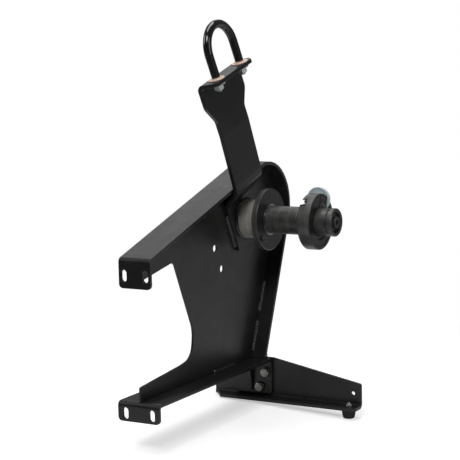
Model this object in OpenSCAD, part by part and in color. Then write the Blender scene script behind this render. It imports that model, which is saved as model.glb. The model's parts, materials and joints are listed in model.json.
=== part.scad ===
// Spindle bracket: a welded sheet-steel C frame with two slotted bolt-on tabs,
// a bearing hub and a horizontal drive spindle, a sliding split clamp collar,
// a cranked hanger arm with a sleeved U-bolt, and a bolted angle foot.
// Millimetres. +X runs out along the spindle, -Y faces the bolt-on side, +Z is up.
// Origin: on the spindle axis, in the front face of the drive flange.

/* [Frame] */
// Thickness of the band and the strip
sheet_t = 5; // [3:0.5:8]
// Thickness of the web
web_t = 3; // [2:0.5:6]
// Distance from the flange face back to the middle of the web
web_back = 50; // [46:1:60]
// Width of the upper band and its tab
band_w = 50; // [40:1:60]
// Width of the lower strip, its tab and the end plate
strip_w = 66; // [54:1:76]
// Distance of the tab faces in front of the spindle axis
tab_front = 293; // [260:1:320]
// Rise of the upper band towards the rear, in degrees
band_rise = 17.6; // [10:0.2:24]
// Height of the upper band above the axis, square to the band
band_up = 69; // [64:1:80]
// Outer radius of the band round the rear of the hub
band_r = 70; // [60:1:76]
// Slant of the rear post from vertical, in degrees
post_slant = 22; // [16:0.5:26]
// Distance of the rear post behind the axis, square to the post
post_back = 102.5; // [98:0.5:108]
// Depth of the lower strip's top face below the axis
strip_down = 215; // [190:1:230]
// Length of the upper tab
upper_tab_h = 40; // [34:1:50]
// Length of the lower tab
lower_tab_h = 27.5; // [26.5:0.5:40]

/* [Slots and holes] */
// Width of the tab slots
slot_w = 9; // [7:0.5:11]
// Overall length of the tab slots
slot_l = 16; // [12:1:20]
// Spacing of the slots on the upper tab
upper_slot_gap = 34; // [28:1:38]
// Spacing of the slots on the lower tab
lower_slot_gap = 42; // [34:1:50]
// Diameter of the two holes through the web
web_hole_d = 10.5; // [6:0.5:12]

/* [Hub] */
// Outer diameter of the bearing hub
hub_d = 57; // [54:0.5:60]
// Outer diameter of the bearings
bearing_d = 47; // [46:0.5:48]
// Bore of the bearings and diameter of the shaft
shaft_d = 25; // [24:0.5:26]
// Width of each bearing
bearing_w = 12; // [11:0.5:13]

/* [Spindle] */
// Diameter of the drive flange
flange_d = 91; // [80:1:100]
// Thickness of the drive flange
flange_t = 9; // [6:0.5:10]
// Diameter of the core sleeve that carries the load
sleeve_d = 41; // [38:0.5:44]
// Length of the core sleeve in front of the flange
sleeve_l = 97; // [88:1:104]
// Length of the sleeve's full diameter, which seats the load
seat_l = 50; // [40:1:52]
// Position of the collar's rear face in front of the flange
collar_at = 62.5; // [54:0.5:66]
// Diameter of the clamp collar
collar_d = 81.5; // [70:0.5:86]
// Width of the clamp collar
collar_w = 19.5; // [16:0.5:22]
// Diameter of the thumb wheel in the collar's slot
knob_d = 36.4; // [30:0.2:37]

/* [Arm] */
// Thickness of the hanger arm
arm_t = 6; // [4:0.5:6]
// Width of the arm's straight length
arm_w = 80; // [76:1:92]
// Width of the arm's head
head_w = 113; // [108:1:124]
// Height of the arm's top face, square to the band
arm_up = 232; // [220:1:250]
// Spacing of the U-bolt legs
u_gap = 70.5; // [68:0.5:80]
// Diameter of the U-bolt rod
u_rod = 8; // [6:0.5:9]
// Diameter over the U-bolt sleeve
u_sleeve = 12.5; // [10:0.5:13]
// Height of the U-bolt above the arm's top face
u_h = 75; // [66:1:90]

/* [Foot] */
// Reach of the foot in front of the flange side of the web
foot_reach = 179; // [150:1:210]
// Reach of the foot behind the web
foot_tail = 68; // [56:1:90]
// Depth of the foot's lower face below the axis
foot_down = 279; // [274:1:284]
// Height of the foot's back plate at the web
foot_h = 64; // [56:1:64]
// Height of the foot's back plate at its far end
foot_end_h = 37; // [30:1:46]
// Depth of the foot's lower flange
foot_ledge = 27; // [24:1:32]
// Height of the rubber foot
rubber_h = 12; // [11:1:20]

/* [Hidden] */
eps = 0.01;
wx = -web_back;
tab_y = -tab_front;
sr = sin(band_rise);
cr = cos(band_rise);
sp = sin(post_slant);
cp = cos(post_slant);
strip_z = -strip_down;
// where the band's top line meets the tab face, and where it would meet the post
fold = [tab_y, (band_up + sr * tab_y) / cr];
det = cp * cr - sp * sr;
apex = [
    (cr * post_back + sp * band_up) / det,
    (cp * band_up + sr * post_back) / det
];
post_foot = [(post_back + sp * strip_z) / cp, strip_z];
post_foot_in = [(post_back - sheet_t + sp * strip_z) / cp, strip_z];
end_y = 23;
foot_z = -foot_down;
end_bottom = foot_z + sheet_t + 3.2;
gusset_l = 13;
gusset_h = 46;
weld = 3.5;

hub_front = -flange_t - 2.3;
hub_rear = wx - 13;
hub_r = hub_d / 2;
race_r = bearing_d / 2;
shaft_r = shaft_d / 2;
front_bearing_x = hub_front - 3 - bearing_w;
rear_bearing_x = hub_rear + 3;
circlip_t = 1.4;

sleeve_r = sleeve_d / 2;
core_r = 14;
root_ring_t = 1.5;
root_ring_r1 = sleeve_r + 0.5;
root_ring_r2 = sleeve_r + 2.3;
end_ring_l = 10;
end_x = sleeve_l + end_ring_l;

collar_r = collar_d / 2;
collar_bore = sleeve_r + 0.08;
relief_r = sleeve_r - 0.25;
screw_x = collar_at + 4.3;
screw_z = 30;
screw_bore = 3.08;
knob_y = 20.6;
knob_t = 5;
split_w = 2.4;

arm_mid = -10;
base_left = -34;
base_right = 31;
base_down = -39;
crank_in = 35;
crank_out = band_up - sheet_t - 3.5;
arm_bend_v = 150;
lower_lean = 0.08;
upper_lean = 0.145;
arm_face = wx + web_t / 2;
arm_out = wx + band_w / 2;
u_r = u_gap / 2;
// the head lies square to the leaning arm; its bend, its depth and the U-bolt's place on it
head_tilt = atan(upper_lean);
mid_x = arm_out + arm_t - lower_lean * (arm_bend_v - band_up - 3);
bend_x = mid_x - upper_lean * (arm_up - arm_t - arm_bend_v);
head_l = 27.5;
u_in = 16.2;
u_arc_v = u_h - u_r - u_sleeve / 2;

foot_y = end_y + sheet_t;
foot_x0 = wx - foot_tail;
foot_x1 = wx + foot_reach;
foot_front = foot_y + sheet_t - foot_ledge;
rubber_x = foot_x1 - 15;
rubber_y = foot_front + 11.5;
bolt_spots = [[wx + 24, strip_z - 22], [wx + 13.5, strip_z - 45]];
web_holes = [[-82.5, -34.5], [-64, -67]];

// ---- shared shapes ----

// unit vector from a to b
function dir(a, b) = (b - a) / norm(b - a);

// the left-hand normal of a direction
function left_of(d) = [-d[1], d[0]];

// points of an arc of radius r that rounds the corner b of a, b, c
function round_corner(a, b, c, r, n = 8) =
    let (
        d1 = dir(a, b),
        d2 = dir(b, c),
        turn = atan2(d1[0] * d2[1] - d1[1] * d2[0], d1 * d2),
        back = r * tan(abs(turn) / 2),
        side = sign(turn),
        start = b - d1 * back,
        centre = start + left_of(d1) * r * side
    )
    [for (i = [0:n])
        let (a0 = turn * i / n, v = (start - centre))
        centre + [v[0] * cos(a0) - v[1] * sin(a0), v[0] * sin(a0) + v[1] * cos(a0)]
    ];

// a polyline with its inner corners rounded by the radii in rr
function round_path(p, rr, n = 8) =
    concat(
        [p[0]],
        [for (i = [1:len(p) - 2])
            each (rr[i] > 0 ? round_corner(p[i - 1], p[i], p[i + 1], rr[i], n) : [p[i]])],
        [p[len(p) - 1]]
    );

// a closed outline with every corner rounded by the radii in rr
function round_loop(p, rr, n = 6) =
    let (m = len(p))
    [for (i = [0:m - 1])
        each (rr[i] > 0
            ? round_corner(p[(i + m - 1) % m], p[i], p[(i + 1) % m], rr[i], n)
            : [p[i]])
    ];

// the path p moved to its left by t, with mitred corners
function shift_path(p, t) =
    let (m = len(p))
    [for (i = [0:m - 1])
        let (
            d1 = i == 0 ? dir(p[0], p[1]) : dir(p[i - 1], p[i]),
            d2 = i == m - 1 ? d1 : dir(p[i], p[i + 1]),
            n1 = left_of(d1),
            n2 = left_of(d2),
            s = n1 + n2
        )
        p[i] + s * (2 * t / (s * s))
    ];

// the outline of a bent sheet whose right-hand face follows the path p
function sheet_outline(p, t) =
    let (q = shift_path(p, t), m = len(p))
    concat(p, [for (i = [0:m - 1]) q[m - 1 - i]]);

// a Y-Z outline made solid between two X positions
module slab_x(pts, x0, x1) {
    translate([x0, 0, 0])
        rotate([90, 0, 90])
            linear_extrude(x1 - x0)
                polygon(pts);
}

// an X-Z outline made solid between two Y positions
module slab_y(pts, y0, y1) {
    translate([0, y1, 0])
        rotate([90, 0, 0])
            linear_extrude(y1 - y0)
                polygon(pts);
}

// a cylinder along X from x0 to x1
module rod_x(x0, x1, r, n = 96) {
    translate([x0, 0, 0])
        rotate([0, 90, 0])
            cylinder(h = x1 - x0, r = r, $fn = n);
}

// a ring along X from x0 to x1
module ring_x(x0, x1, r1, r2, n = 96) {
    difference() {
        rod_x(x0, x1, r2, n);
        rod_x(x0 - 1, x1 + 1, r1, n);
    }
}

// a solid of revolution about X; points are [x, r]
module turn_x(pts, n = 96) {
    rotate([0, 90, 0])
        rotate_extrude($fn = n)
            polygon([for (p = pts) [p[1], p[0]]]);
}

// a cylinder along Y from y0 to y1 at [x, z]
module rod_y(x, z, y0, y1, r, n = 48) {
    translate([x, y1, z])
        rotate([90, 0, 0])
            cylinder(h = y1 - y0, r = r, $fn = n);
}

// the frame in which y runs along the upper band and z square to it
module along_band() {
    rotate([band_rise, 0, 0])
        children();
}

// a slot through a tab, upright, at [x, z]
module tab_slot(x, z) {
    for (s = [-1, 1])
        rod_y(x, z + s * (slot_l - slot_w) / 2, tab_y - 1, tab_y + sheet_t + 1, slot_w / 2);
    translate([x - slot_w / 2, tab_y - 1, z - (slot_l - slot_w) / 2])
        cube([slot_w, sheet_t + 2, slot_l - slot_w]);
}

// trims the two lower corners of a tab to a radius
module tab_corners(w, z, r) {
    for (s = [-1, 1])
        difference() {
            translate([wx + s * (w / 2 - r / 2 + 0.5) - r / 2 - 0.5, tab_y - 1, z - 1])
                cube([r + 1, sheet_t + 2, r + 1]);
            rod_y(wx + s * (w / 2 - r), z + r, tab_y - 2, tab_y + sheet_t + 2, r);
        }
}

// ---- welded frame ----

function band_path() = round_path(
    [[tab_y, fold[1] - upper_tab_h], fold, apex, post_foot],
    [0, 7, band_r, 0],
    14
);

// the band's inner face, cut level where it stands on the strip
function band_inner() =
    let (q = shift_path(band_path(), -sheet_t), n = len(q))
    [for (i = [0:n - 1]) i < n - 1 ? q[i] : post_foot_in];

function band_outline() =
    let (q = band_inner(), n = len(q))
    concat(band_path(), [for (i = [0:n - 1]) q[n - 1 - i]]);

module upper_band() {
    color([0.05, 0.05, 0.055])
        difference() {
            slab_x(band_outline(), wx - band_w / 2, wx + band_w / 2);
            for (s = [-1, 1])
                tab_slot(wx + s * upper_slot_gap / 2, fold[1] - 23);
            tab_corners(band_w, fold[1] - upper_tab_h, 6);
        }
}

function strip_path() = round_path(
    [
        [tab_y, strip_z - lower_tab_h],
        [tab_y, strip_z],
        [end_y + sheet_t, strip_z],
        [end_y + sheet_t, end_bottom]
    ],
    [0, 7, 7, 0],
    8
);

module lower_strip() {
    color([0.05, 0.05, 0.055])
        difference() {
            slab_x(sheet_outline(strip_path(), -sheet_t), wx - strip_w / 2, wx + strip_w / 2);
            for (s = [-1, 1])
                tab_slot(wx + s * lower_slot_gap / 2, strip_z - 16.5);
            tab_corners(strip_w, strip_z - lower_tab_h, 6);
            for (b = bolt_spots)
                rod_y(b[0], b[1], end_y - 1, foot_y + 1, 4.5);
            end_plate_corners();
        }
}

// the rounded lower corners of the end plate
module end_plate_corners() {
    for (s = [-1, 1])
        difference() {
            translate([wx + s * (strip_w / 2 - 2.5) - 3.5, end_y - 1, end_bottom - 1])
                cube([7, sheet_t + 2, 7]);
            rod_y(wx + s * (strip_w / 2 - 6), end_bottom + 6, end_y - 2, foot_y + 2, 6);
        }
}

// the web's outline: its upper and rear edge lies against the band's inside
function web_outline() =
    let (
        inner = band_inner(),
        n = len(inner),
        top = [for (i = [15:n - 1]) inner[i]],
        mouth = round_loop(
            [
                [tab_y + sheet_t, strip_z],
                [tab_y + sheet_t, strip_z + 20],
                [-186, strip_z + 29],
                [-154, strip_z + 34],
                [-148, strip_z + 72],
                [-196, -38],
                [tab_y + sheet_t, -54],
                [tab_y + sheet_t, fold[1] - 26]
            ],
            [0, 3, 30, 24, 40, 10, 3, 0],
            8
        )
    )
    concat(
        mouth,
        [inner[1]],
        top
    );

module web_plate() {
    color([0.05, 0.05, 0.055])
        difference() {
            slab_x(web_outline(), wx - web_t / 2, wx + web_t / 2);
            rod_x(wx - sheet_t, wx + sheet_t, hub_r);
            for (h = web_holes)
                translate([wx - sheet_t, h[0], h[1]])
                    rotate([0, 90, 0])
                        cylinder(h = 2 * sheet_t, r = web_hole_d / 2, $fn = 48);
        }
}

module end_gusset() {
    z1 = strip_z - sheet_t;
    color([0.05, 0.05, 0.055])
        slab_x(
            [
                [end_y - gusset_l, z1],
                [end_y - 2.2, z1],
                [end_y, z1 - 2.2],
                [end_y, z1 - gusset_h],
                [end_y - 2, z1 - gusset_h]
            ],
            wx - web_t / 2,
            wx + web_t / 2
        );
}

// fillet welds where the web meets the band and the strip, and behind the post's foot
module frame_welds() {
    inner = band_inner();
    n = len(inner);
    a = inner[n - 1];
    d = dir(inner[n - 1], inner[n - 2]);
    run = 118;
    color([0.07, 0.07, 0.075]) {
        for (s = [-1, 1])
            for (k = [0:1])
                translate([wx + s * web_t / 2, a[0] + d[0] * (8 + k * 62), a[1] + d[1] * (8 + k * 62)])
                    rotate([-atan2(d[0], d[1]), 0, 0])
                        rotate([0, 0, s > 0 ? -90 : 180])
                            linear_extrude(50)
                                polygon([[0, 0], [weld, 0], [0, weld]]);
        for (s = [-1, 1])
            let (x = wx + s * web_t / 2)
            slab_y(
                [[x, strip_z], [x + s * weld, strip_z], [x, strip_z + weld]],
                end_y - run,
                end_y - run + 60
            );
        slab_x(
            [
                post_foot,
                post_foot + [3.8, 0],
                post_foot + [5.2, 5],
                post_foot + 11 * [sp, cp]
            ],
            wx - band_w / 2 + 2,
            wx + band_w / 2
        );
    }
}

// ---- hub and bearings ----

module hub_housing() {
    color([0.55, 0.54, 0.52])
        turn_x([
            [hub_rear, race_r + 1.2],
            [hub_rear, hub_r - 0.8],
            [hub_rear + 0.8, hub_r],
            [hub_front - 0.8, hub_r],
            [hub_front, hub_r - 0.8],
            [hub_front, race_r + 0.02],
            [hub_front - 3 + circlip_t, race_r + 0.02],
            [hub_front - 3 + circlip_t, race_r + 1.2],
            [hub_front - 3, race_r + 1.2],
            [hub_front - 3, race_r],
            [front_bearing_x, race_r],
            [front_bearing_x, race_r - 2],
            [rear_bearing_x + bearing_w, race_r - 2],
            [rear_bearing_x + bearing_w, race_r],
            [rear_bearing_x, race_r],
            [rear_bearing_x, race_r + 1.2],
            [rear_bearing_x - circlip_t, race_r + 1.2],
            [rear_bearing_x - circlip_t, race_r + 0.02],
            [hub_rear, race_r + 0.02]
        ]);
}

module hub_weld() {
    x = arm_face + arm_t;
    color([0.07, 0.07, 0.075])
        turn_x([[x, hub_r], [x + 3, hub_r], [x + 2.2, hub_r + 1.6], [x, hub_r + 3]]);
}

module bearing_outer_rings() {
    color([0.7, 0.7, 0.72])
        for (x = [front_bearing_x, rear_bearing_x])
            ring_x(x, x + bearing_w, race_r - 3.6, race_r);
}

module bearing_seals() {
    color([0.08, 0.08, 0.08])
        for (x = [front_bearing_x, rear_bearing_x])
            for (k = [0.6, bearing_w - 1.8])
                ring_x(x + k, x + k + 1.2, shaft_r + 3.7, race_r - 3.6);
}

module bearing_inner_rings() {
    color([0.7, 0.7, 0.72])
        for (x = [front_bearing_x, rear_bearing_x])
            ring_x(x, x + bearing_w, shaft_r, shaft_r + 3.6);
}

module bearing_spacer() {
    color([0.5, 0.5, 0.5])
        ring_x(rear_bearing_x + bearing_w, front_bearing_x, shaft_r, shaft_r + 3);
}

// a retaining ring with an open gap, set in the hub's groove
module circlip(x) {
    difference() {
        ring_x(x, x + circlip_t, race_r - 2.6, race_r + 1.1);
        translate([x - 1, -4, 0])
            cube([circlip_t + 2, 8, race_r + 5]);
    }
}

module hub_circlips() {
    color([0.2, 0.2, 0.2]) {
        circlip(hub_front - 3);
        circlip(rear_bearing_x - circlip_t);
    }
}

// ---- hanger arm ----

// outer face of the arm in X and height square to the band
function arm_path() = round_path(
    [
        [arm_face + arm_t, base_down],
        [arm_face + arm_t, crank_in],
        [arm_out + arm_t, crank_out],
        [arm_out + arm_t, band_up + 3],
        [mid_x, arm_bend_v],
        [bend_x, arm_up - arm_t],
        [bend_x + head_l * cos(head_tilt), arm_up - arm_t + head_l * sin(head_tilt)]
    ],
    [0, 8, 9, 30, 12, 3, 0],
    6
);

function arm_shape() =
    let (l = arm_mid - arm_w / 2, r = arm_mid + arm_w / 2)
    round_loop(
        [
            [base_left, base_down],
            [base_right, base_down],
            [base_right, crank_in],
            [r, crank_out],
            [r, arm_up - 62],
            [arm_mid + head_w / 2, arm_up - 40],
            [arm_mid + head_w / 2, arm_up + 9],
            [arm_mid - head_w / 2, arm_up + 9],
            [arm_mid - head_w / 2, arm_up - 36],
            [l, arm_up - 60],
            [l, band_up + 2]
        ],
        [5, 5, 0, 0, 14, 14, 0, 0, 14, 14, 12]
    );

module hanger_arm() {
    color([0.05, 0.05, 0.055])
        difference() {
            along_band()
                difference() {
                    intersection() {
                        slab_y(sheet_outline(arm_path(), arm_t), arm_mid - 70, arm_mid + 70);
                        slab_x(arm_shape(), wx - 20, 10);
                    }
                    on_head()
                        for (s = [-1, 1])
                            translate([u_in, s * u_r, -20])
                                cylinder(h = 40, r = 4.5, $fn = 48);
                    head_corners();
                }
            rod_x(arm_face - 1, arm_face + arm_t + 1, hub_r);
        }
}

// the head's own frame in the band's: origin at the bend's outer line, on the top face, x out along the head
module on_head() {
    translate([bend_x, arm_mid, arm_up - arm_t])
        rotate([0, -head_tilt, 0])
            translate([0, 0, arm_t])
                children();
}

// the trimmed front corners of the arm's head
module head_corners() {
    on_head()
        for (s = [-1, 1])
            translate([head_l, s * head_w / 2, -20])
                rotate([0, 0, 45])
                    translate([-5, -5, 0])
                        cube([10, 10, 40]);
}

// fillet welds from the arm's base to the web and from the band to the arm
module arm_welds() {
    edge = dir([base_left, base_down], [arm_mid - arm_w / 2, band_up + 2]);
    color([0.07, 0.07, 0.075])
        along_band() {
            translate([arm_face, base_left - 0.05 + edge[0] * 8, base_down + edge[1] * 8])
                rotate([-atan2(edge[0], edge[1]), 0, 0])
                    linear_extrude(56)
                        polygon([[0, 0], [weld, 0], [0, -weld]]);
            slab_y(
                [
                    [arm_out, band_up],
                    [arm_out - 4, band_up],
                    [arm_out - 0.3, band_up + 2.6],
                    [arm_out, band_up + 1]
                ],
                arm_mid - 36,
                arm_mid + 36
            );
        }
}

// ---- U-bolt ----

// a rod of radius r along the U-bolt's line, each leg down to low
module u_line(r, low, n = 32) {
    along_band()
        on_head()
            translate([u_in, 0, 0]) {
                for (s = [-1, 1])
                    translate([0, s * u_r, low])
                        cylinder(h = u_arc_v - low, r = r, $fn = n);
                translate([0, 0, u_arc_v])
                    rotate([90, 0, 90])
                        rotate_extrude(angle = 180, $fn = 72)
                            translate([u_r, 0])
                                circle(r = r, $fn = n);
            }
}

module u_bolt() {
    color([0.6, 0.6, 0.62])
        u_line(u_rod / 2, -17.5);
}

module u_bolt_sleeve() {
    color([0.03, 0.03, 0.035])
        difference() {
            u_line(u_sleeve / 2, 2.8);
            u_line(u_rod / 2, -20);
        }
}

// a washer on a U-bolt leg; z is measured up from the head's top face
module leg_washer(s, z, r, t, bore) {
    along_band()
        on_head()
            translate([u_in, s * u_r, z])
                difference() {
                    cylinder(h = t, r = r, $fn = 64);
                    translate([0, 0, -1])
                        cylinder(h = t + 2, r = bore, $fn = 48);
                }
}

module upper_washers() {
    color([0.78, 0.7, 0.58])
        for (s = [-1, 1]) {
            leg_washer(s, 0, 12, 1.6, u_rod / 2);
            leg_washer(s, 1.6, 8.5, 1.2, u_rod / 2);
        }
}

module lower_washers() {
    color([0.82, 0.8, 0.74])
        for (s = [-1, 1])
            leg_washer(s, -arm_t - 2, 10.5, 2, u_rod / 2);
}

// a hexagonal nut with its bore along +Z and chamfered corners
module hex_nut(af, h, bore) {
    difference() {
        intersection() {
            cylinder(h = h, r = af / sqrt(3), $fn = 6);
            rotate_extrude($fn = 48)
                polygon([
                    [0, 0],
                    [af / 2 - 0.2, 0],
                    [af / sqrt(3), 1],
                    [af / sqrt(3), h - 1],
                    [af / 2 - 0.2, h],
                    [0, h]
                ]);
        }
        translate([0, 0, -1])
            cylinder(h = h + 2, r = bore, $fn = 48);
    }
}

module u_bolt_nuts() {
    color([0.75, 0.77, 0.78])
        along_band()
            on_head()
                for (s = [-1, 1])
                    translate([u_in, s * u_r, -arm_t - 2 - 7])
                        hex_nut(13, 7, u_rod / 2);
}

// ---- foot ----

module foot_angle() {
    z0 = foot_z;
    top = z0 + foot_h;
    color([0.05, 0.05, 0.055])
        difference() {
            intersection() {
                rotate([90, 0, 90])
                    translate([0, 0, foot_x0])
                        linear_extrude(foot_x1 - foot_x0)
                            polygon(foot_section(z0, top));
                slab_y(
                    round_loop(
                        [
                            [foot_x0, z0 - 1],
                            [foot_x1, z0 - 1],
                            [foot_x1, z0 + foot_end_h],
                            [wx + 33, top],
                            [wx - 33, top],
                            [foot_x0, z0 + 46]
                        ],
                        [0, 0, 4, 6, 6, 5]
                    ),
                    foot_front - 1,
                    foot_y + 10
                );
                foot_plan();
            }
            for (b = bolt_spots)
                rod_y(b[0], b[1], end_y - 1, foot_y + 10, 4.5);
            rod_y(foot_x1 - 13, z0 + 22, end_y - 1, foot_y + 10, 3);
            translate([rubber_x, rubber_y, z0 - 1])
                cylinder(h = 8, r = 2.7, $fn = 32);
        }
}

// the angle's section in Y and Z
function foot_section(z0, top) = sheet_outline(
    round_path(
        [[foot_front, z0], [foot_y + sheet_t, z0], [foot_y + sheet_t, top]],
        [0, 8, 0],
        8
    ),
    sheet_t
);

// the angle's plan, with the flange cut at 45 degrees behind the web
module foot_plan() {
    translate([0, 0, foot_z - 2])
        linear_extrude(100)
            polygon([
                [foot_x0, foot_y + 9],
                [foot_x0, foot_y - 1],
                [foot_x0 + 4, foot_y - 2],
                [foot_x0 + 20, foot_front],
                [foot_x1 - 5, foot_front],
                [foot_x1, foot_front + 5],
                [foot_x1, foot_y + 9]
            ]);
}

// a shank along Y with a hexagonal head at the front
module foot_bolt(b) {
    difference() {
        union() {
            rod_y(b[0], b[1], end_y - 1.6, foot_y + sheet_t + 10.5, 4, 32);
            translate([b[0], end_y - 1.6, b[1]])
                rotate([90, 0, 0])
                    hex_nut(13, 5.3, 0);
        }
        rod_y(b[0], b[1], foot_y + sheet_t + 10, foot_y + sheet_t + 12, 5, 32);
    }
}

module foot_bolts() {
    color([0.75, 0.77, 0.78])
        for (b = bolt_spots)
            foot_bolt(b);
}

module foot_bolt_washers() {
    color([0.75, 0.77, 0.78])
        for (b = bolt_spots)
            for (y = [end_y - 1.6, foot_y + sheet_t])
                difference() {
                    rod_y(b[0], b[1], y, y + 1.6, 6.9);
                    rod_y(b[0], b[1], y - 1, y + 3, 4);
                }
}

module foot_bolt_nuts() {
    color([0.75, 0.77, 0.78])
        for (b = bolt_spots)
            translate([b[0], foot_y + sheet_t + 1.6 + 6.5, b[1]])
                rotate([90, 0, 0])
                    hex_nut(13, 6.5, 4);
}

module rubber_foot() {
    z = foot_z;
    color([0.04, 0.04, 0.04])
        translate([rubber_x, rubber_y, z - rubber_h])
            rotate_extrude($fn = 64)
                polygon([
                    [6, 0],
                    [7.4, 0],
                    [8.6, 1.2],
                    [11, rubber_h],
                    [2.5, rubber_h],
                    [2.5, 7.6],
                    [6, 7.6]
                ]);
}

module rubber_foot_washer() {
    color([0.6, 0.6, 0.6])
        translate([rubber_x, rubber_y, foot_z - rubber_h + 6.4])
            difference() {
                cylinder(h = 1.2, r = 5.9, $fn = 48);
                translate([0, 0, -1])
                    cylinder(h = 4, r = 2.5, $fn = 32);
            }
}

module rubber_foot_screw() {
    color([0.6, 0.6, 0.6])
        translate([rubber_x, rubber_y, foot_z - rubber_h]) {
            translate([0, 0, 2.6])
                difference() {
                    cylinder(h = 3.8, r = 4.6, $fn = 48);
                    translate([0, 0, -1])
                        cylinder(h = 3, r = 2.2, $fn = 6);
                }
            translate([0, 0, 6.2])
                cylinder(h = rubber_h + sheet_t + 6 - 6.2, r = 2.5, $fn = 32);
        }
}

module rubber_foot_nut() {
    color([0.7, 0.7, 0.7])
        translate([rubber_x, rubber_y, foot_z + sheet_t])
            hex_nut(8, 4, 2.5);
}

// ---- spindle ----

// the rotating shaft with its threaded rear end and its front tap
module spindle_shaft() {
    color([0.6, 0.6, 0.62])
        turn_x([
            [hub_rear - 16, 0],
            [hub_rear - 16, 7.2],
            [hub_rear - 15, 8],
            [rear_bearing_x - 3, 8],
            [rear_bearing_x - 3, 11.5],
            [rear_bearing_x, shaft_r],
            [front_bearing_x + bearing_w, shaft_r],
            [front_bearing_x + bearing_w, shaft_r + 3],
            [-flange_t, shaft_r + 3],
            [-flange_t, core_r],
            [sleeve_l - 3, core_r],
            [sleeve_l - 3, 5],
            [sleeve_l - 28, 5],
            [sleeve_l - 31, 0]
        ]);
}

module rear_washer() {
    color([0.7, 0.7, 0.72])
        ring_x(rear_bearing_x - 5.4, rear_bearing_x - 3, 8, 13);
}

module rear_lock_nut() {
    color([0.7, 0.7, 0.72])
        translate([rear_bearing_x - 5.4 - 11, 0, 0])
            rotate([0, 90, 0])
                hex_nut(24, 11, 8);
}

module drive_flange() {
    r = flange_d / 2;
    color([0.09, 0.09, 0.09])
        difference() {
            turn_x([
                [-flange_t, core_r],
                [-flange_t, r - 1],
                [-flange_t + 1, r],
                [-1, r],
                [0, r - 1],
                [0, root_ring_r2],
                [-root_ring_t, root_ring_r2],
                [-root_ring_t, root_ring_r1],
                [0, root_ring_r1],
                [0, core_r]
            ]);
            pin_place(-flange_t - 1, 2, 4);
        }
}

// the drive pin's place on the flange
module pin_place(x0, x1, r) {
    translate([0, -25.5, -25.5])
        rod_x(x0, x1, r, 48);
}

module drive_pin() {
    color([0.45, 0.45, 0.46])
        union() {
            pin_place(-flange_t, 5, 4);
            pin_place(5 - eps, 6, 3.2);
        }
}

// a bright ring let into the flange round the root of the sleeve
module sleeve_root_ring() {
    color([0.4, 0.4, 0.4])
        ring_x(-root_ring_t, 0.1, root_ring_r1, root_ring_r2);
}

module core_sleeve() {
    g = sleeve_l;
    color([0.13, 0.13, 0.13])
        turn_x([
            [0, core_r],
            [0, sleeve_r],
            [seat_l, sleeve_r],
            [seat_l + 0.25, relief_r],
            [g - 1, relief_r],
            [g, relief_r - 1],
            [g, core_r]
        ]);
}

module end_ring() {
    g = sleeve_l;
    color([0.1, 0.1, 0.1])
        turn_x([
            [g, 6],
            [g, sleeve_r - 1.6],
            [g + 1, sleeve_r - 1.6],
            [g + 1, sleeve_r - 0.6],
            [g + 2, sleeve_r],
            [end_x - 1.5, sleeve_r],
            [end_x, sleeve_r - 1.5],
            [end_x, sleeve_r - 4],
            [end_x - 1, sleeve_r - 5],
            [end_x - 6, sleeve_r - 5],
            [end_x - 6, 6]
        ]);
}

module end_washer() {
    color([0.3, 0.3, 0.3])
        ring_x(end_x - 6, end_x - 4.4, 5, 12, 64);
}

module end_screw() {
    x = end_x - 4.4;
    color([0.2, 0.2, 0.2]) {
        rod_x(sleeve_l - 24, x, 5, 48);
        difference() {
            rod_x(x, x + 5, 8.5, 64);
            translate([x + 1.4, 0, 0])
                rotate([0, 90, 0])
                    cylinder(h = 5, r = 4.6, $fn = 6);
        }
    }
}

// ---- clamp collar ----

module clamp_collar() {
    x0 = collar_at;
    x1 = collar_at + collar_w;
    color([0.1, 0.1, 0.1])
        difference() {
            turn_x([
                [x0, collar_bore],
                [x0, collar_r - 1.5],
                [x0 + 1.5, collar_r],
                [x1 - 0.9, collar_r],
                [x1, collar_r - 0.9],
                [x1, collar_r - 5],
                [x1 - 1, collar_r - 6],
                [x1 - 1, sleeve_r + 6.5],
                [x1 - 3, sleeve_r + 5],
                [x1 - 3, collar_bore]
            ]);
            translate([x0 - 1, -split_w / 2, 0])
                cube([collar_w + 2, split_w, collar_r + 5]);
            rod_y(screw_x, screw_z, -13, knob_y + 1, screw_bore, 32);
            rod_y(screw_x, screw_z, knob_y - 0.3, knob_y + knob_t + 0.3, knob_d / 2 + 0.8, 64);
            translate([screw_x, -8.4, screw_z])
                rotate([90, 0, 0])
                    cylinder(h = 30, r = 5.9, $fn = 6);
        }
}

module clamp_nut() {
    color([0.7, 0.7, 0.72])
        translate([screw_x, -8.4, screw_z])
            rotate([90, 0, 0])
                hex_nut(10, 5, screw_bore);
}

module clamp_screw() {
    color([0.72, 0.75, 0.77])
        rod_y(screw_x, screw_z, -13.2, knob_y + knob_t, 3, 32);
}

module clamp_knob() {
    r = knob_d / 2;
    color([0.72, 0.77, 0.8])
        translate([screw_x, knob_y, screw_z])
            rotate([-90, 0, 0])
                rotate_extrude($fn = 96)
                    polygon([
                        [3, 0],
                        [7, 0],
                        [8, 0.6],
                        [r - 3, 0.6],
                        [r - 2.2, 0],
                        [r - 0.6, 0],
                        [r, 0.6],
                        [r, knob_t - 0.6],
                        [r - 0.6, knob_t],
                        [3, knob_t]
                    ]);
}

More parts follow.
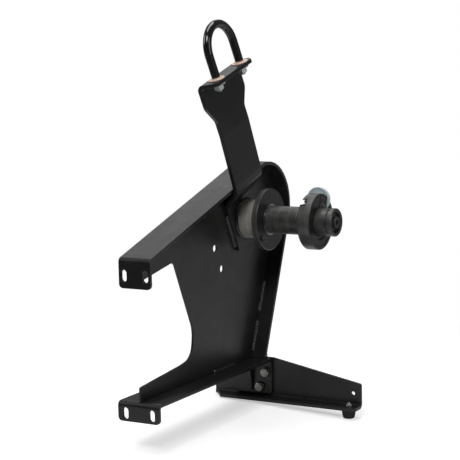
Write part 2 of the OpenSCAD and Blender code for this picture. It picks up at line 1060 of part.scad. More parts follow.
web_plate();
upper_band();
lower_strip();
end_gusset();
frame_welds();
hub_housing();
hub_weld();
bearing_outer_rings();
bearing_seals();
hub_circlips();
hanger_arm();
arm_welds();
u_bolt();
u_bolt_sleeve();
upper_washers();
lower_washers();
u_bolt_nuts();
foot_angle();
foot_bolts();
foot_bolt_washers();
foot_bolt_nuts();
rubber_foot();
rubber_foot_washer();
rubber_foot_screw();
rubber_foot_nut();
spindle_shaft();
bearing_inner_rings();
bearing_spacer();
rear_washer();
rear_lock_nut();
drive_flange();
core_sleeve();
sleeve_root_ring();
drive_pin();
end_ring();
end_washer();
end_screw();
clamp_collar();
clamp_nut();
clamp_screw();
clamp_knob();
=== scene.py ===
"""The spindle bracket's looks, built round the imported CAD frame.

Every CAD solid is rebuilt here as a finished skin: its edges are rounded, its round faces are smooth and it
has a procedural finish. Weld beads, screw threads, the U-bolt and its sleeve, the thumb wheel, the bearing
seals and the rubber foot are new meshes.
Metres, in the CAD model's own frame: +X out along the spindle, -Y towards the tabs, +Z up.
"""

import json
import math

import bmesh
import bpy
from mathutils import Matrix, Quaternion, Vector, noise


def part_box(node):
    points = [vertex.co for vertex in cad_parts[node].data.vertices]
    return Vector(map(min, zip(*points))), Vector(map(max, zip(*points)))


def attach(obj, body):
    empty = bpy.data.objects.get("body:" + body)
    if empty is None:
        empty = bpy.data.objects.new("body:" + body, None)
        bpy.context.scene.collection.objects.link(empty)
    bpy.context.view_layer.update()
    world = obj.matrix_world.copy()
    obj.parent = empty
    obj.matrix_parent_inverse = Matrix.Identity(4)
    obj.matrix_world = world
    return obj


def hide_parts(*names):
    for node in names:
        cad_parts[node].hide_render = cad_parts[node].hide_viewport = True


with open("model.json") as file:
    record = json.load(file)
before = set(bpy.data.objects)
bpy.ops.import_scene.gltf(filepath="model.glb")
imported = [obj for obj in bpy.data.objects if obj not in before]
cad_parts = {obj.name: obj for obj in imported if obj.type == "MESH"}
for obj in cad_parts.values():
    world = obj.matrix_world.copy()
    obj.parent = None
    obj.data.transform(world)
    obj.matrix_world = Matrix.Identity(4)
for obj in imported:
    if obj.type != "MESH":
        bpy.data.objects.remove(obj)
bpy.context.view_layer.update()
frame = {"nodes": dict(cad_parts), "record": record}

MM = 0.001
X_AXIS = Vector((1, 0, 0))
BODY = {n: b for b, nodes in frame["record"]["behaviour"]["bodies"].items() for n in nodes}
SLOT = {p["node"]: p["material_slot"] for p in frame["record"]["subparts"]}

# ---- camera ----

CAMERA_AZIMUTH = 29.86
CAMERA_ELEVATION = 7.51
CAMERA_ROLL = -1.28
CAMERA_DISTANCE = 2.2144
CAMERA_LENS = 116.34
CAMERA_AIM = Vector((-0.0642, -0.0108, -0.0173))


def place_camera():
    az, el = math.radians(CAMERA_AZIMUTH), math.radians(CAMERA_ELEVATION)
    back = Vector((math.sin(az) * math.cos(el), -math.cos(az) * math.cos(el), math.sin(el)))
    data = bpy.data.cameras.new("camera")
    data.lens = CAMERA_LENS
    data.sensor_width = 36
    data.clip_start = 0.05
    data.clip_end = 60
    cam = bpy.data.objects.new("camera", data)
    bpy.context.scene.collection.objects.link(cam)
    cam.location = CAMERA_AIM + back * CAMERA_DISTANCE
    cam.rotation_mode = "QUATERNION"
    roll = Quaternion((0, 0, 1), math.radians(CAMERA_ROLL))
    cam.rotation_quaternion = (-back).to_track_quat("-Z", "Y") @ roll
    bpy.context.scene.camera = cam


# ---- finishes ----


class Finish:
    """A material: a Principled shader, with short calls that add procedural detail to it."""

    def __init__(self, name, **sockets):
        self.mat = bpy.data.materials.new(name)
        self.mat.use_nodes = True
        self.tree = self.mat.node_tree
        self.shader = self.tree.nodes["Principled BSDF"]
        for key, value in sockets.items():
            self.shader.inputs[key.replace("_", " ")].default_value = value
        self.place = self.node("ShaderNodeTexCoord").outputs["Object"]

    def node(self, kind, **values):
        made = self.tree.nodes.new(kind)
        for key, value in values.items():
            setattr(made, key, value)
        return made

    def link(self, source, socket):
        self.tree.links.new(source, socket)

    def noise(self, scale, detail=2.0, rough=0.5, place=None):
        made = self.node("ShaderNodeTexNoise")
        made.inputs["Scale"].default_value = scale
        made.inputs["Detail"].default_value = detail
        made.inputs["Roughness"].default_value = rough
        self.link(place or self.place, made.inputs["Vector"])
        return made.outputs["Fac"]

    def stretched(self, x, y, z):
        made = self.node("ShaderNodeVectorMath", operation="MULTIPLY")
        self.link(self.place, made.inputs[0])
        made.inputs[1].default_value = (x, y, z)
        return made.outputs["Vector"]

    def turned(self):
        """Coordinates that follow a lathe's marks round the spindle: along it, and out from it."""
        flat = self.stretched(0, 1, 1)
        length = self.node("ShaderNodeVectorMath", operation="LENGTH")
        self.link(flat, length.inputs[0])
        parts = self.node("ShaderNodeSeparateXYZ")
        self.link(self.place, parts.inputs[0])
        made = self.node("ShaderNodeCombineXYZ")
        self.link(parts.outputs["X"], made.inputs["X"])
        self.link(length.outputs["Value"], made.inputs["Y"])
        return made.outputs[0]

    def span(self, fac, low, high, to_low, to_high):
        """fac taken from low..high to to_low..to_high, and held there beyond them."""
        made = self.node("ShaderNodeMapRange", clamp=True)
        for key, value in zip(("From Min", "From Max", "To Min", "To Max"), (low, high, to_low, to_high)):
            made.inputs[key].default_value = value
        self.link(fac, made.inputs["Value"])
        return made.outputs["Result"]

    def times(self, a, b):
        made = self.node("ShaderNodeMath", operation="MULTIPLY")
        self.link(a, made.inputs[0])
        self.link(b, made.inputs[1])
        return made.outputs[0]

    def blend(self, fac, a, b):
        """Colour a where fac is 0 and b where it is 1; either is a socket or three numbers."""
        made = self.node("ShaderNodeMix", data_type="RGBA")
        self.link(fac, made.inputs["Factor"])
        for socket, colour in ((made.inputs["A"], a), (made.inputs["B"], b)):
            if isinstance(colour, tuple):
                socket.default_value = (*colour, 1)
            else:
                self.link(colour, socket)
        return made.outputs["Result"]

    def bump(self, height, strength, distance, under=None):
        made = self.node("ShaderNodeBump")
        made.inputs["Strength"].default_value = strength
        made.inputs["Distance"].default_value = distance
        self.link(height, made.inputs["Height"])
        if under:
            self.link(under, made.inputs["Normal"])
        return made.outputs["Normal"]

    def facing(self, axis):
        """How far a face looks along X, Y or Z, from -1 to 1."""
        parts = self.node("ShaderNodeSeparateXYZ")
        self.link(self.node("ShaderNodeNewGeometry").outputs["Normal"], parts.inputs[0])
        return parts.outputs[axis]

    def finish(self, colour=None, rough=None, normal=None):
        for key, source in (("Base Color", colour), ("Roughness", rough), ("Normal", normal)):
            if source:
                self.link(source, self.shader.inputs[key])
        return self.mat


def powder_coat():
    """Semi-gloss black powder coat: orange peel, fine grain, faint haze and a little dust on top faces."""
    f = Finish("black_powder_coat", Specular_IOR_Level=0.5)
    haze = f.noise(14, 4, 0.6)
    base = f.blend(f.span(haze, 0.35, 0.7, 0, 1), (0.0075, 0.0075, 0.008), (0.0135, 0.0135, 0.014))
    specks = f.span(f.noise(1500, 1), 0.7, 0.8, 0, 0.35)
    dust = f.times(specks, f.span(f.facing("Z"), 0.4, 0.95, 0, 1))
    colour = f.blend(dust, base, (0.12, 0.12, 0.115))
    rough = f.span(f.noise(45, 5, 0.65), 0.3, 0.75, 0.27, 0.40)
    peel = f.bump(f.noise(620, 2), 0.16, 0.0005)
    return f.finish(colour, rough, f.bump(f.noise(3200, 2), 0.08, 0.0002, peel))


def weld_coat():
    """Powder coat over a weld: glossier and rougher underneath, with thin grey high spots."""
    f = Finish("coated_weld", Specular_IOR_Level=0.6)
    thin = f.span(f.noise(900, 3, 0.6), 0.56, 0.74, 0, 1)
    colour = f.blend(thin, (0.009, 0.009, 0.010), (0.055, 0.055, 0.054))
    rough = f.span(f.noise(400, 3), 0.3, 0.7, 0.14, 0.32)
    return f.finish(colour, rough, f.bump(f.noise(1400, 3, 0.7), 0.35, 0.0006))


def turned_metal(name, dark, light, rough_low, rough_high, metallic, mark=0.10, stain=0.5, face=1.0):
    """Metal turned on a lathe: rings round the spindle and faint stains.

    face is how light the end faces are beside the round ones: painted shade, which darkens the faces that
    look along the spindle.
    """
    f = Finish(name, Metallic=metallic)
    place = f.turned()
    rings = f.noise(2600, 2, 0.6, place)
    broad = f.noise(260, 2, 0.5, place)
    blotch = f.noise(55, 5, 0.65)
    tone = f.blend(f.span(broad, 0.3, 0.7, 0, 1), dark, light)
    # painted shade: faces looking along the spindle take the dark tone times face, darker than the round
    # faces
    tone = f.blend(f.span(f.facing("X"), 0.6, 0.9, 0, 1), tone, tuple(c * face for c in dark))
    colour = f.blend(f.span(blotch, 0.45, 0.8, 0, stain), tone, tuple(c * 0.55 * face for c in dark))
    rough = f.span(f.noise(70, 4, 0.6), 0.3, 0.7, rough_low, rough_high)
    return f.finish(colour, rough, f.bump(f.noise(500, 2), 0.05, 0.0003, f.bump(rings, mark, 0.0002)))


def rolled_metal(name, dark, light, rough_low, rough_high, metallic=1.0, grain=(1, 1, 8)):
    """Plain or plated steel that isn't turned: a drawn grain and cloudy tone."""
    f = Finish(name, Metallic=metallic)
    colour = f.blend(f.span(f.noise(120, 4, 0.6), 0.3, 0.7, 0, 1), dark, light)
    rough = f.span(f.noise(300, 4, 0.6), 0.3, 0.7, rough_low, rough_high)
    drawn = f.bump(f.noise(900, 3, 0.6, f.stretched(*grain)), 0.10, 0.0002)
    return f.finish(colour, rough, f.bump(f.noise(2400, 2), 0.06, 0.0001, drawn))


def gloss_sleeve():
    """Glossy black plastic tube with faint lengthwise waves and rub marks."""
    f = Finish("gloss_black_sleeve", Coat_Weight=0.3, Coat_Roughness=0.08)
    rubbed = f.span(f.noise(160, 4), 0.55, 0.75, 0, 1)
    colour = f.blend(rubbed, (0.0065, 0.0065, 0.007), (0.018, 0.018, 0.018))
    rough = f.span(f.noise(220, 4, 0.65), 0.35, 0.75, 0.10, 0.26)
    waves = f.bump(f.noise(140, 1), 0.15, 0.0006)
    return f.finish(colour, rough, f.bump(f.noise(1200, 2), 0.04, 0.0002, waves))


def nylon(name, dark, light):
    """Matt moulded nylon: mottled tone, a fine grain and a little light through it."""
    f = Finish(name, Subsurface_Weight=0.12, Subsurface_Scale=0.002)
    f.shader.inputs["Subsurface Radius"].default_value = (1.0, 0.6, 0.35)
    colour = f.blend(f.span(f.noise(260, 4, 0.6), 0.3, 0.7, 0, 1), dark, light)
    rough = f.span(f.noise(500, 3), 0.3, 0.7, 0.45, 0.62)
    return f.finish(colour, rough, f.bump(f.noise(2200, 2), 0.12, 0.0002))


def rubber(name, rough_low=0.6, rough_high=0.82):
    """Black moulded rubber: greyish bloom, fine grain and scuffed high spots."""
    f = Finish(name, Specular_IOR_Level=0.35)
    bloom = f.span(f.noise(90, 5, 0.65), 0.4, 0.75, 0, 1)
    colour = f.blend(bloom, (0.010, 0.010, 0.0105), (0.032, 0.032, 0.032))
    rough = f.span(f.noise(300, 3), 0.3, 0.7, rough_low, rough_high)
    return f.finish(colour, rough, f.bump(f.noise(1800, 3, 0.7), 0.25, 0.0003))


FINISH = {
    "black_powder_coat": powder_coat(),
    "machined_steel": turned_metal(
        "machined_steel", (0.40, 0.385, 0.35), (0.56, 0.54, 0.495), 0.42, 0.55, 0.2
    ),
    "plain_steel": rolled_metal("plain_steel", (0.40, 0.40, 0.40), (0.58, 0.58, 0.57), 0.26, 0.42),
    "turned_steel": turned_metal("turned_steel", (0.42, 0.42, 0.42), (0.60, 0.60, 0.59), 0.22, 0.38, 1.0),
    "zinc_plate": rolled_metal("zinc_plate", (0.52, 0.56, 0.58), (0.70, 0.74, 0.75), 0.26, 0.42, 0.75),
    # zinc painted dark: painted shade for bolts that sit in shade and mirror the dark frame
    "zinc_painted_shade": rolled_metal("zinc_painted_shade", (0.16, 0.155, 0.145), (0.30, 0.29, 0.27), 0.24, 0.40, 1.0),
    # pale, almost non-metallic zinc: the plating's own pale tone plus painted light for the wheel's bright
    # reflection
    "thumb_wheel_zinc": rolled_metal(
        "thumb_wheel_zinc", (0.60, 0.70, 0.73), (0.72, 0.82, 0.85), 0.36, 0.5, 0.1
    ),
    # black oxide's end faces are painted at 0.3 of its dark tone: painted shade
    "black_oxide_steel": turned_metal(
        "black_oxide_steel", (0.085, 0.085, 0.084), (0.14, 0.138, 0.134), 0.30, 0.44, 0.5, 0.14, 0.7, 0.3
    ),
    "black_sleeve": gloss_sleeve(),
    "tan_plastic": nylon("tan_nylon", (0.66, 0.48, 0.38), (0.82, 0.66, 0.55)),
    "cream_plastic": nylon("cream_nylon", (0.70, 0.64, 0.58), (0.84, 0.79, 0.73)),
    "rubber": rubber("black_rubber"),
    "coated_weld": weld_coat(),
}
# nodes whose finish isn't their slot's own
SPECIAL = {
    "spindle_shaft": "turned_steel",
    "bearing_inner_rings": "turned_steel",
    "bearing_outer_rings": "turned_steel",
    "bearing_spacer": "turned_steel",
    "rear_washer": "turned_steel",
    "sleeve_root_ring": "turned_steel",
    "drive_pin": "black_oxide_steel",
    # the foot's bolts, washers and nuts wear zinc painted dark: painted shade
    "foot_bolts": "zinc_painted_shade",
    "foot_bolt_washers": "zinc_painted_shade",
    "foot_bolt_nuts": "zinc_painted_shade",
    # the thumb wheel wears zinc lightened with painted light
    "clamp_knob": "thumb_wheel_zinc",
}


# ---- mesh work ----


def add_piece(name, bm, node, finish=None):
    """Makes a piece from bm in place of a CAD node, which it hides; the piece rides on the node's body and
    wears the finish named for the node's slot, or a special or given one.
    """
    mesh = bpy.data.meshes.new(name)
    bmesh.ops.recalc_face_normals(bm, faces=bm.faces)
    for face in bm.faces:
        face.smooth = True
    bm.to_mesh(mesh)
    bm.free()
    piece = bpy.data.objects.new(name, mesh)
    bpy.context.scene.collection.objects.link(piece)
    mesh.materials.append(FINISH[finish or SPECIAL.get(node, SLOT[node])])
    even = piece.modifiers.new("even_normals", "WEIGHTED_NORMAL")
    even.keep_sharp = True
    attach(piece, BODY[node])
    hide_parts(node)
    return piece


def cad_mesh(node):
    """The CAD node's mesh with its seams joined and its flat faces whole."""
    bm = bmesh.new()
    bm.from_mesh(frame["nodes"][node].data)
    bmesh.ops.remove_doubles(bm, verts=bm.verts, dist=0.002 * MM)
    bmesh.ops.dissolve_limit(bm, angle_limit=math.radians(0.3), verts=bm.verts, edges=bm.edges)
    return bm


def round_edges(bm, width, angle=30, segments=2):
    """Rounds every edge sharper than angle."""
    sharp = [
        e for e in bm.edges if len(e.link_faces) == 2 and e.calc_face_angle(0) > math.radians(angle)
    ]
    bmesh.ops.bevel(
        bm, geom=sharp, offset=width, offset_type="OFFSET", segments=segments, profile=0.5,
        affect="EDGES", clamp_overlap=False,
    )


def skin(node, width):
    bm = cad_mesh(node)
    round_edges(bm, width)
    return add_piece(node + "_skin", bm, node)


def solids(bm):
    """Each separate solid's vertices, in the mesh's own order, which is the same in every run."""
    seen, groups = set(), []
    for start in bm.verts:
        if start in seen:
            continue
        seen.add(start)
        stack, group = [start], []
        while stack:
            v = stack.pop()
            group.append(v)
            for e in v.link_edges:
                w = e.other_vert(v)
                if w not in seen:
                    seen.add(w)
                    stack.append(w)
        groups.append(group)
    return groups


def band(bm, a, b):
    """A band of faces between two closed rings of vertices."""
    count = len(a)
    for i in range(count):
        j = (i + 1) % count
        bm.faces.new((a[i], a[j], b[j], b[i]))


def loft(bm, rings, caps=True):
    """Joins closed rings of points into a surface, with or without end caps."""
    made = [[bm.verts.new(p) for p in ring] for ring in rings]
    for a, b in zip(made, made[1:]):
        band(bm, a, b)
    if caps:
        bm.faces.new(made[0])
        bm.faces.new(made[-1])
    return made


def around(centre, u, v, radius, sides):
    """A ring of points; radius is a number, or a function of the angle."""
    points = []
    for i in range(sides):
        t = 2 * math.pi * i / sides
        r = radius(t) if callable(radius) else radius
        points.append(centre + u * (r * math.cos(t)) + v * (r * math.sin(t)))
    return points


def lathe(bm, centre, axis, profile, sides=64, wave=None):
    """A closed profile of (along, out) points turned about axis. wave changes the radius with angle."""
    u = axis.orthogonal().normalized()
    v = axis.cross(u)
    rings = [
        around(centre + axis * along, u, v, (lambda t, r=out: wave(r, t)) if wave else out, sides)
        for along, out in profile
    ]
    made = [[bm.verts.new(p) for p in ring] for ring in rings]
    for a, b in zip(made, made[1:] + made[:1]):
        band(bm, a, b)


# ---- welds ----

RIPPLE = 1.9 * MM


def bead_ring(root, a, b, s, seed):
    """One cross-section of a weld bead between the wall directions a and b, at the distance s along it."""
    points = [root]
    steps = 7
    for i in range(steps + 1):
        t = i / steps
        lag = 0.45 * math.sin(math.pi * t)
        ripple = abs(math.sin(math.pi * (s / RIPPLE - lag)))
        rough = noise.noise(Vector((s * 420, t * 2.5, seed)))
        swell = 1 + 0.10 * math.sin(math.pi * t) + 0.13 * ripple * math.sin(math.pi * t) + 0.10 * rough
        points.append(root + (a * (1 - t) + b * t) * swell)
    return points


def straight_bead(bm, root0, root1, a, b, seed):
    run = root1 - root0
    count = round(run.length / (0.38 * MM))
    rings = []
    for k in range(count + 1):
        s = run.length * k / count
        end = min(s, run.length - s) / (2.2 * MM)
        taper = math.sqrt(max(0.12, 1 - (1 - min(1, end)) ** 2))
        wander = 1 + 0.10 * noise.noise(Vector((s * 90, seed, 3)))
        rings.append(bead_ring(root0 + run * (k / count), a * taper * wander, b * taper / wander, s, seed))
    loft(bm, rings)


def corner_angle(loop, v):
    i = loop.index(v)
    p, q = loop[i - 1].co - v.co, loop[(i + 1) % len(loop)].co - v.co
    return p.angle(q)


def weld_beads(node):
    """Rippled beads in place of the CAD model's plain fillets; each runs along its fillet's square corner."""
    source = cad_mesh(node)
    bm = bmesh.new()
    for seed, group in enumerate(solids(source)):
        faces = dict.fromkeys(f for v in group for f in v.link_faces)
        end0, end1 = sorted(faces, key=lambda f: f.calc_area())[:2]
        loop = list(end0.verts)
        square = [v for v in loop if corner_angle(loop, v) < math.radians(91)]
        root = max(square, key=lambda v: corner_angle(loop, v))
        run = end1.calc_center_median() - end0.calc_center_median()
        far = min(end1.verts, key=lambda v: (v.co - root.co - run).length)
        i = loop.index(root)
        legs = []
        for neighbour in (loop[i - 1], loop[(i + 1) % len(loop)]):
            leg = (neighbour.co - root.co).normalized()
            legs.append(leg * max((v.co - root.co).dot(leg) for v in loop))
        straight_bead(bm, root.co, far.co, *legs, seed)
    source.free()
    return add_piece(node + "_beads", bm, node, "coated_weld")


def hub_bead():
    """The bead round the hub, on the arm's base."""
    low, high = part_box("hub_weld")
    leg = high.x - low.x
    radius = high.y - leg
    bm = bmesh.new()
    count = 480
    rings = []
    for k in range(count):
        t = 2 * math.pi * k / count
        out = Vector((0, math.cos(t), math.sin(t)))
        rings.append(bead_ring(out * radius + X_AXIS * low.x, X_AXIS * leg, out * leg, radius * t, 40))
    loft(bm, rings + [rings[0]], caps=False)
    bmesh.ops.remove_doubles(bm, verts=bm.verts, dist=0.001 * MM)
    return add_piece("hub_weld_bead", bm, "hub_weld", "coated_weld")


# ---- threads ----


def thread_radius(radius, pitch, along, angle, depth_share=0.6):
    """A 60 degree thread's radius at a place along the axis and an angle round it."""
    turn = (along / pitch - angle / (2 * math.pi)) % 1
    tooth = 1 - abs(2 * turn - 1)
    return radius - pitch * depth_share * (1 - min(1, tooth * 1.25))


def threaded_rod(bm, start, axis, radius, pitch, length, sides=40, chamfer=None):
    """A threaded stub from start along axis, with a chamfered free end at start."""
    chamfer = chamfer or 0.7 * pitch
    u = axis.orthogonal().normalized()
    v = axis.cross(u)
    count = max(4, round(length / (pitch / 7)))
    rings = []
    for k in range(count + 1):
        s = length * k / count
        cap = radius - max(0, chamfer - s)
        rings.append(
            around(
                start + axis * s, u, v,
                lambda t, s=s, cap=cap: min(cap, thread_radius(radius, pitch, s, t)), sides,
            )
        )
    loft(bm, rings)


# ---- pieces rebuilt as new meshes ----

BAND_RISE = math.radians(17.6)
HEAD_TILT = math.atan(0.145)
HEAD_BEND = Vector((-36.26, -10, 226)) * MM
ARM_THICKNESS = 6 * MM
# the arm's head: origin at its bend, on its top face, with X out along it and Z square to it
HEAD = (
    Matrix.Rotation(BAND_RISE, 4, "X")
    @ Matrix.Translation(HEAD_BEND)
    @ Matrix.Rotation(-HEAD_TILT, 4, "Y")
    @ Matrix.Translation(Vector((0, 0, ARM_THICKNESS)))
)
U_BOLT_IN = 16.2 * MM
U_BOLT_REACH = 35.25 * MM
U_BOLT_LOW = -17.5 * MM
U_BOLT_SPRING = 33.5 * MM
U_BOLT_ROD = 4 * MM
U_BOLT_SLEEVE = 6.25 * MM
U_BOLT_SLEEVE_LOW = 2.8 * MM
M8_PITCH = 1.25 * MM
THREAD_LENGTH = 20.5 * MM


def u_line(low, radius, sides):
    """Rings along the U-bolt's line, up from low, round the bend and down again.

    radius is a number, or a function of the share of the way along.
    """
    stations = []
    legs = 12
    for k in range(legs):
        stations.append((-U_BOLT_REACH, low + (U_BOLT_SPRING - low) * k / legs, 0.0))
    turn = 44
    for k in range(turn + 1):
        t = math.pi * k / turn
        stations.append((-U_BOLT_REACH * math.cos(t), U_BOLT_SPRING + U_BOLT_REACH * math.sin(t), t))
    for k in range(legs):
        stations.append((U_BOLT_REACH, U_BOLT_SPRING - (U_BOLT_SPRING - low) * (k + 1) / legs, math.pi))
    turn_to_part = HEAD.to_3x3()
    rings = []
    for i, (y, z, t) in enumerate(stations):
        out = turn_to_part @ Vector((0, math.cos(t), -math.sin(t)))
        r = radius(i / (len(stations) - 1)) if callable(radius) else radius
        rings.append(around(HEAD @ Vector((U_BOLT_IN, y, z)), turn_to_part @ X_AXIS, out, r, sides))
    return rings


def u_bolt():
    """The bent rod, threaded on the lower end of each leg."""
    bm = bmesh.new()
    loft(bm, u_line(U_BOLT_LOW + THREAD_LENGTH, U_BOLT_ROD, 32))
    up = HEAD.to_3x3() @ Vector((0, 0, 1))
    for side in (-1, 1):
        foot = HEAD @ Vector((U_BOLT_IN, side * U_BOLT_REACH, U_BOLT_LOW))
        threaded_rod(bm, foot, up, U_BOLT_ROD, M8_PITCH, THREAD_LENGTH)
    return add_piece("u_bolt_rod", bm, "u_bolt", "plain_steel")


def u_bolt_sleeve():
    """The plastic tube over the rod: slightly uneven, with square-cut open ends."""
    def outer(share):
        return U_BOLT_SLEEVE - 0.10 * MM * (1 + noise.noise(Vector((share * 14, 5, 9))))

    bm = bmesh.new()
    outside = loft(bm, u_line(U_BOLT_SLEEVE_LOW, outer, 40), caps=False)
    inside = loft(bm, u_line(U_BOLT_SLEEVE_LOW, U_BOLT_ROD, 40), caps=False)
    band(bm, outside[0], inside[0])
    band(bm, outside[-1], inside[-1])
    for e in bm.edges:
        e.smooth = e.calc_face_angle(0) <= math.radians(60)
    return add_piece("u_bolt_sleeve_tube", bm, "u_bolt_sleeve")


# a bolt's plain end shrinks to this share inside its thread
THREAD_CORE = 0.8


def foot_bolts():
    """Hexagon bolts: the CAD heads and shanks, with a thread on the free end."""
    bm = cad_mesh("foot_bolts")
    round_edges(bm, 0.35 * MM)
    shank_r = 4 * MM
    length = 9 * MM
    for group in solids(bm):
        y = max(v.co.y for v in group)
        tip = [v.co for v in group if v.co.y > y - 0.6 * MM]
        centre = sum(tip, Vector()) / len(tip)
        for v in group:
            if v.co.y > y - length:
                v.co.x = centre.x + (v.co.x - centre.x) * THREAD_CORE
                v.co.z = centre.z + (v.co.z - centre.z) * THREAD_CORE
        threaded_rod(bm, Vector((centre.x, y, centre.z)), Vector((0, -1, 0)), shank_r, M8_PITCH, length)
    return add_piece("foot_bolts_threaded", bm, "foot_bolts")


def spindle_shaft():
    """The shaft with its thread under the rear lock nut."""
    bm = cad_mesh("spindle_shaft")
    round_edges(bm, 0.3 * MM)
    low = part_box("spindle_shaft")[0]
    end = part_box("rear_lock_nut")[1].x
    radius = 8 * MM
    shrink = 0.82
    for v in bm.verts:
        if v.co.x < end - 0.5 * MM:
            v.co.y *= shrink
            v.co.z *= shrink
    threaded_rod(bm, Vector((low.x, 0, 0)), X_AXIS, radius, 1.5 * MM, end - low.x, 48, 1.0 * MM)
    return add_piece("spindle_shaft_threaded", bm, "spindle_shaft")


def clamp_knob():
    """The plated thumb wheel: a straight knurl round the rim, a turned face with a raised boss and rim."""
    low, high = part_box("clamp_knob")
    centre = (low + high) / 2
    centre.y = low.y
    radius = (high.x - low.x) / 2
    thick = high.y - low.y
    bore = 3 * MM

    def wave(r, t):
        return r - 0.14 * MM * (0.5 + 0.5 * math.cos(72 * t)) if r > radius - 0.2 * MM else r

    profile = [
        (0, bore), (0, 7.0 * MM), (0.2 * MM, 7.5 * MM), (0.6 * MM, 8.0 * MM), (0.6 * MM, radius - 3.0 * MM),
        (0.2 * MM, radius - 2.4 * MM), (0, radius - 2.0 * MM), (0, radius - 0.8 * MM),
        (0.25 * MM, radius - 0.3 * MM), (0.7 * MM, radius - 0.05 * MM), (0.9 * MM, radius),
        (thick - 0.9 * MM, radius), (thick - 0.7 * MM, radius - 0.05 * MM),
        (thick - 0.25 * MM, radius - 0.3 * MM), (thick, radius - 0.8 * MM), (thick, bore + 0.4 * MM),
        (thick, bore),
    ]
    bm = bmesh.new()
    lathe(bm, centre, Vector((0, 1, 0)), profile, 432, wave)
    return add_piece("clamp_knob_disc", bm, "clamp_knob")


def bearing_seals():
    """Rubber seals with a pressed rib and a thin lip on the inner ring."""
    low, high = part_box("bearing_outer_rings")
    half = 6 * MM
    middles = (low.x + half, high.x - half)
    bm = bmesh.new()
    source = cad_mesh("bearing_seals")
    for group in solids(source):
        x0 = min(v.co.x for v in group)
        x1 = max(v.co.x for v in group)
        r1 = max(v.co.y for v in group)
        r0 = min(math.hypot(v.co.y, v.co.z) for v in group)
        middle = min(middles, key=lambda m: abs(m - x0))
        outward = 1 if x0 > middle else -1
        base = x0 if outward > 0 else x1
        deep = x1 - x0
        w = r1 - r0
        profile = [
            (0, r0), (0, r1), (deep * 0.9, r1), (deep * 0.7, r1 - 0.12 * w), (deep * 0.45, r1 - 0.3 * w),
            (deep * 0.45, r0 + 0.5 * w), (deep * 0.85, r0 + 0.4 * w), (deep * 0.85, r0 + 0.2 * w),
            (deep, r0 + 0.1 * w), (deep * 0.8, r0),
        ]
        lathe(bm, Vector((base, 0, 0)), X_AXIS * outward, profile, 96)
    source.free()
    return add_piece("bearing_seal_rings", bm, "bearing_seals")


def rubber_foot():
    """A moulded buffer: rounded lower lip, a shallow waist groove and a seat for its washer."""
    low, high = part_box("rubber_foot")
    centre = (low + high) / 2
    centre.z = low.z
    tall = high.z - low.z
    top_r = (high.x - low.x) / 2
    profile = [
        (0.6 * MM, 6.0 * MM), (0.1 * MM, 6.4 * MM), (0, 6.9 * MM),
        (0.15 * MM, 7.6 * MM), (0.9 * MM, 8.4 * MM), (2.0 * MM, 8.8 * MM),
        (tall * 0.5, 9.7 * MM), (tall * 0.74, 10.2 * MM), (tall * 0.78, 10.0 * MM),
        (tall * 0.81, 10.0 * MM), (tall * 0.85, 10.5 * MM), (tall - 1.0 * MM, top_r),
        (tall - 0.25 * MM, top_r), (tall, top_r - 0.4 * MM), (tall, 2.5 * MM), (7.6 * MM, 2.5 * MM),
        (7.6 * MM, 6.0 * MM),
    ]
    bm = bmesh.new()
    lathe(bm, centre, Vector((0, 0, 1)), profile, 96)
    return add_piece("rubber_foot_buffer", bm, "rubber_foot")


# ---- the object ----

# how far each node's sharp edges are rounded, in millimetres
EDGE = {
    "web_plate": 0.5, "upper_band": 0.7, "lower_strip": 0.7, "end_gusset": 0.4, "hub_housing": 0.3,
    "bearing_outer_rings": 0.25, "hub_circlips": 0.15, "hanger_arm": 0.7,
    "upper_washers": 0.4, "lower_washers": 0.35, "u_bolt_nuts": 0.3, "foot_angle": 0.7,
    "foot_bolt_washers": 0.25, "foot_bolt_nuts": 0.3, "rubber_foot_washer": 0.2, "rubber_foot_screw": 0.2,
    "rubber_foot_nut": 0.3, "bearing_inner_rings": 0.25, "bearing_spacer": 0.25, "rear_washer": 0.25,
    "rear_lock_nut": 0.35, "drive_flange": 0.35, "core_sleeve": 0.3, "sleeve_root_ring": 0.15,
    "drive_pin": 0.3, "end_ring": 0.35, "end_washer": 0.2, "end_screw": 0.3, "clamp_collar": 0.35,
    "clamp_nut": 0.25, "clamp_screw": 0.3,
}


def build_object():
    for node, width in EDGE.items():
        skin(node, width * MM)
    weld_beads("frame_welds")
    weld_beads("arm_welds")
    hub_bead()
    u_bolt()
    u_bolt_sleeve()
    foot_bolts()
    spindle_shaft()
    clamp_knob()
    bearing_seals()
    rubber_foot()


# ---- floor and light ----


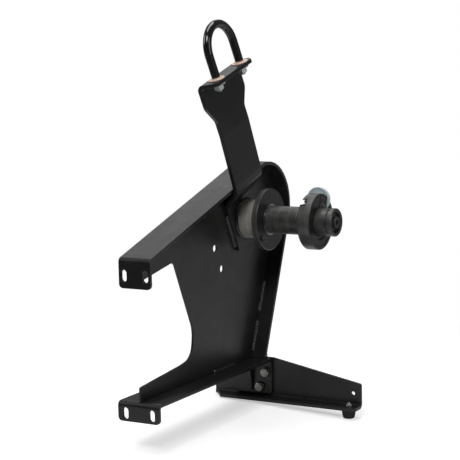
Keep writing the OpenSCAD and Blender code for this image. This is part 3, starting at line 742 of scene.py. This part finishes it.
def floor():
    """A pale floor under the foot's two low points, with a glow for the eye only; it fades out far away."""
    f = Finish("pale_floor", Roughness=0.35, Specular_IOR_Level=0.2)
    f.shader.inputs["Base Color"].default_value = (0.86, 0.86, 0.865, 1)
    f.shader.inputs["Emission Color"].default_value = (1, 1, 1, 1)
    eye = f.node("ShaderNodeLightPath").outputs["Is Camera Ray"]
    f.link(f.span(eye, 0, 1, 0, 0.48), f.shader.inputs["Emission Strength"])
    far = f.node("ShaderNodeVectorMath", operation="LENGTH")
    f.link(f.place, far.inputs[0])
    mix = f.node("ShaderNodeMixShader")
    f.link(f.span(far.outputs["Value"], 0.35, 0.75, 0, 1), mix.inputs[0])
    f.link(f.shader.outputs[0], mix.inputs[1])
    f.link(f.node("ShaderNodeBsdfTransparent").outputs[0], mix.inputs[2])
    output = next(n for n in f.tree.nodes if n.type == "OUTPUT_MATERIAL")
    f.link(mix.outputs[0], output.inputs["Surface"])
    bm = bmesh.new()
    bmesh.ops.create_circle(bm, cap_ends=True, radius=0.8, segments=64)
    mesh = bpy.data.meshes.new("floor")
    bm.to_mesh(mesh)
    bm.free()
    mesh.materials.append(f.mat)
    plane = bpy.data.objects.new("floor", mesh)
    rubber_low, rubber_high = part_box("rubber_foot")
    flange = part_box("foot_angle")[0]
    run = (rubber_low.x + rubber_high.x) / 2 - flange.x
    slope = math.atan2(flange.z - rubber_low.z, run)
    gap = 0.5 * MM
    plane.location = (flange.x, 0, flange.z - gap)
    plane.rotation_euler = (0, slope, 0)
    bpy.context.scene.collection.objects.link(plane)


def softbox(name, place, aim, size, power):
    data = bpy.data.lights.new(name, "AREA")
    data.shape = "RECTANGLE"
    data.size, data.size_y = size
    data.energy = power
    lamp = bpy.data.objects.new(name, data)
    lamp.location = place
    lamp.rotation_mode = "QUATERNION"
    lamp.rotation_quaternion = (Vector(aim) - Vector(place)).to_track_quat("-Z", "Y")
    bpy.context.scene.collection.objects.link(lamp)


def light():
    """White to the eye; as a light, brighter below the horizon and behind the object than in front of it."""
    world = bpy.data.worlds.new("studio")
    world.use_nodes = True
    bpy.context.scene.world = world
    nodes, links = world.node_tree.nodes, world.node_tree.links
    nodes.clear()
    place = nodes.new("ShaderNodeTexCoord")
    parts = nodes.new("ShaderNodeSeparateXYZ")
    links.new(place.outputs["Generated"], parts.inputs[0])
    ramp = nodes.new("ShaderNodeMapRange")
    ramp.interpolation_type = "SMOOTHSTEP"
    for key, value in (("From Min", -0.25), ("From Max", 0.12), ("To Min", 0.34), ("To Max", 0.10)):
        ramp.inputs[key].default_value = value
    links.new(parts.outputs["Z"], ramp.inputs["Value"])
    path = nodes.new("ShaderNodeLightPath")
    seen, dim = nodes.new("ShaderNodeBackground"), nodes.new("ShaderNodeBackground")
    seen.inputs["Strength"].default_value = 1.0
    seen.inputs["Color"].default_value = (1, 1, 1, 1)
    dim.inputs["Color"].default_value = (1, 1, 1, 1)
    sweep = nodes.new("ShaderNodeMapRange")
    for key, value in (("From Min", -0.7), ("From Max", 0.7), ("To Min", 0.3), ("To Max", 1.3)):
        sweep.inputs[key].default_value = value
    links.new(parts.outputs["Y"], sweep.inputs["Value"])
    share = nodes.new("ShaderNodeMath")
    share.operation = "MULTIPLY"
    links.new(ramp.outputs["Result"], share.inputs[0])
    links.new(sweep.outputs["Result"], share.inputs[1])
    links.new(share.outputs[0], dim.inputs["Strength"])
    mix, out = nodes.new("ShaderNodeMixShader"), nodes.new("ShaderNodeOutputWorld")
    links.new(path.outputs["Is Camera Ray"], mix.inputs[0])
    links.new(dim.outputs[0], mix.inputs[1])
    links.new(seen.outputs[0], mix.inputs[2])
    links.new(mix.outputs[0], out.inputs[0])
    softbox("top_box", (-0.3, 0.1, 2.4), (0, 0, 0), (2.0, 1.2), 38)
    softbox("left_box", (-2.2, -1.0, 1.3), (0, 0, 0), (1.0, 1.2), 16)
    softbox("front_box", (0.5, -2.0, 2.1), (0, 0, 0), (1.2, 0.8), 34)
    softbox("right_box", (2.2, -0.4, 0.9), (0, 0, 0), (0.7, 1.4), 9)
    softbox("back_box", (-1.15, 1.45, 1.4), (0, 0, 0), (1.2, 1.0), 3.4)
    bpy.context.scene.view_settings.view_transform = "Standard"


place_camera()
build_object()
floor()
light()
